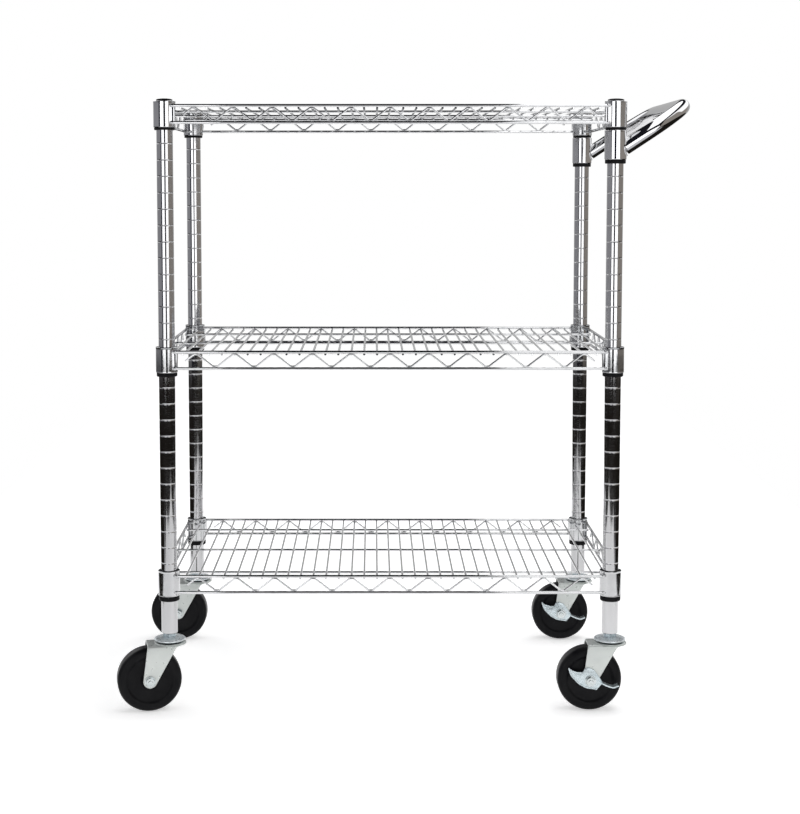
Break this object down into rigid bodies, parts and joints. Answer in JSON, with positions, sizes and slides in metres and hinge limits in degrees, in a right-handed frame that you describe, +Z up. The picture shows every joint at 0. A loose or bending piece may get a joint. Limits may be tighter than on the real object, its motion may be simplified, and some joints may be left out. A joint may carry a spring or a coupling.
{
  "type": "wire utility cart",
  "caption": "Chrome wire utility cart with three shelves, grooved posts, a bent tube push handle at one end and swivel casters, two with side brakes.",
  "frame": {"origin": "middle of the footprint box, on the floor under the wheels", "axes": "+X towards the push handle, +Y to the rear (the brake levers are on the -Y side of their forks), +Z up"},
  "size_m": [0.9126, 0.4706, 0.9687],
  "materials": {
    "post_chrome": "polished chrome plate, ring grooves one inch apart",
    "shelf_chrome": "chrome-plated welded wire",
    "handle_chrome": "polished chrome plate on bent tube",
    "cap_plastic": "black moulded",
    "sleeve_plastic": "black moulded",
    "insert_steel": "zinc plated",
    "caster_zinc": "bright zinc plate on pressed steel",
    "axle_zinc": "zinc plated bolt",
    "wheel_rubber": "solid black moulded wheel, satin"
  },
  "bodies": {
    "cart_frame": {"post_front_left": "post_chrome", "post_cap_front_left": "cap_plastic", "foot_insert_front_left": "insert_steel", "caster_stem_front_left": "caster_zinc", "bottom_sleeve_front_left": "sleeve_plastic", "middle_sleeve_front_left": "sleeve_plastic", "top_sleeve_front_left": "sleeve_plastic", "post_front_right": "post_chrome", "post_cap_front_right": "cap_plastic", "foot_insert_front_right": "insert_steel", "caster_stem_front_right": "caster_zinc", "bottom_sleeve_front_right": "sleeve_plastic", "middle_sleeve_front_right": "sleeve_plastic", "top_sleeve_front_right": "sleeve_plastic", "post_rear_left": "post_chrome", "post_cap_rear_left": "cap_plastic", "foot_insert_rear_left": "insert_steel", "caster_stem_rear_left": "caster_zinc", "bottom_sleeve_rear_left": "sleeve_plastic", "middle_sleeve_rear_left": "sleeve_plastic", "top_sleeve_rear_left": "sleeve_plastic", "post_rear_right": "post_chrome", "post_cap_rear_right": "cap_plastic", "foot_insert_rear_right": "insert_steel", "caster_stem_rear_right": "caster_zinc", "bottom_sleeve_rear_right": "sleeve_plastic", "middle_sleeve_rear_right": "sleeve_plastic", "top_sleeve_rear_right": "sleeve_plastic", "handle_sleeve_front_right": "sleeve_plastic", "handle_sleeve_rear_right": "sleeve_plastic", "bottom_shelf_mat": "shelf_chrome", "bottom_shelf_front_truss": "shelf_chrome", "bottom_shelf_rear_truss": "shelf_chrome", "bottom_shelf_left_end": "shelf_chrome", "bottom_shelf_right_end": "shelf_chrome", "middle_shelf_mat": "shelf_chrome", "middle_shelf_front_truss": "shelf_chrome", "middle_shelf_rear_truss": "shelf_chrome", "middle_shelf_left_end": "shelf_chrome", "middle_shelf_right_end": "shelf_chrome", "top_shelf_mat": "shelf_chrome", "top_shelf_front_truss": "shelf_chrome", "top_shelf_rear_truss": "shelf_chrome", "top_shelf_left_end": "shelf_chrome", "top_shelf_right_end": "shelf_chrome", "push_handle": "handle_chrome"},
    "swivel_front_left": {"caster_fork_front_left": "caster_zinc", "caster_axle_front_left": "axle_zinc"},
    "wheel_front_left": {"caster_wheel_front_left": "wheel_rubber"},
    "swivel_front_right": {"caster_fork_front_right": "caster_zinc", "caster_axle_front_right": "axle_zinc"},
    "wheel_front_right": {"caster_wheel_front_right": "wheel_rubber"},
    "brake_front_right": {"brake_lever_front_right": "caster_zinc"},
    "swivel_rear_left": {"caster_fork_rear_left": "caster_zinc", "caster_axle_rear_left": "axle_zinc"},
    "wheel_rear_left": {"caster_wheel_rear_left": "wheel_rubber"},
    "swivel_rear_right": {"caster_fork_rear_right": "caster_zinc", "caster_axle_rear_right": "axle_zinc"},
    "wheel_rear_right": {"caster_wheel_rear_right": "wheel_rubber"},
    "brake_rear_right": {"brake_lever_rear_right": "caster_zinc"}
  },
  "joints": [
    {"name": "front_left_swivel", "type": "hinge", "parent": "cart_frame", "child": "swivel_front_left", "pos_m": [-0.37245, -0.19798, 0.109], "axis": [0, 0, 1], "continuous": true},
    {"name": "front_left_roll", "type": "hinge", "parent": "swivel_front_left", "child": "wheel_front_left", "pos_m": [-0.40473, -0.20485, 0.0508], "axis": [-0.2079, 0.9781, 0], "continuous": true},
    {"name": "front_right_swivel", "type": "hinge", "parent": "cart_frame", "child": "swivel_front_right", "pos_m": [0.32755, -0.19798, 0.109], "axis": [0, 0, 1], "continuous": true},
    {"name": "front_right_roll", "type": "hinge", "parent": "swivel_front_right", "child": "wheel_front_right", "pos_m": [0.29455, -0.19798, 0.0508], "axis": [0, 1, 0], "continuous": true},
    {"name": "front_right_brake", "type": "hinge", "parent": "swivel_front_right", "child": "brake_front_right", "pos_m": [0.29455, -0.19798, 0.0508], "axis": [0, 1, 0], "range_deg": [0, 18]},
    {"name": "rear_left_swivel", "type": "hinge", "parent": "cart_frame", "child": "swivel_rear_left", "pos_m": [-0.37245, 0.20702, 0.109], "axis": [0, 0, 1], "continuous": true},
    {"name": "rear_left_roll", "type": "hinge", "parent": "swivel_rear_left", "child": "wheel_rear_left", "pos_m": [-0.40545, 0.20702, 0.0508], "axis": [0, 1, 0], "continuous": true},
    {"name": "rear_right_swivel", "type": "hinge", "parent": "cart_frame", "child": "swivel_rear_right", "pos_m": [0.32755, 0.20702, 0.109], "axis": [0, 0, 1], "continuous": true},
    {"name": "rear_right_roll", "type": "hinge", "parent": "swivel_rear_right", "child": "wheel_rear_right", "pos_m": [0.29455, 0.20702, 0.0508], "axis": [0, 1, 0], "continuous": true},
    {"name": "rear_right_brake", "type": "hinge", "parent": "swivel_rear_right", "child": "brake_rear_right", "pos_m": [0.29455, 0.20702, 0.0508], "axis": [0, 1, 0], "range_deg": [0, 18]}
  ]
}
